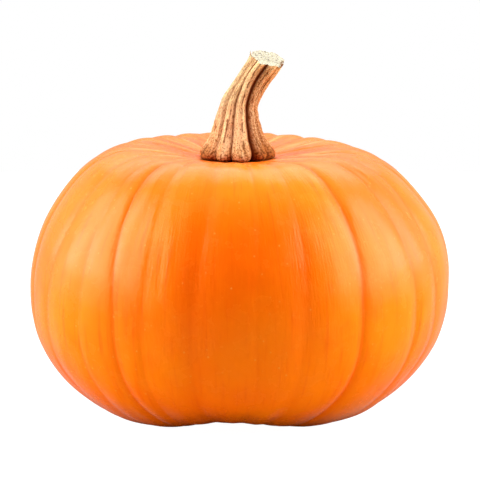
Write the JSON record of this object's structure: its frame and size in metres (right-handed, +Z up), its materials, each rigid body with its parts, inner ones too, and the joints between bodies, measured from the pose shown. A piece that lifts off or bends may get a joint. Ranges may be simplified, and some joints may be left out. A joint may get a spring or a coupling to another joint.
{
  "type": "pumpkin",
  "caption": "Squat ribbed orange pumpkin with a dry ridged stem that leans over, resting on small flat spots of its base.",
  "frame": {"origin": "on the resting plane, under the middle of the fruit's width and depth", "axes": "+Z up along the fruit's core, -Y towards the side the picture shows, +X to its right, where the stem leans"},
  "size_m": [0.2392, 0.2358, 0.2078],
  "materials": {
    "skin": "satin",
    "stem": "matte"
  },
  "bodies": {
    "root": {"fruit": "skin", "stem": "stem"}
  },
  "joints": []
}
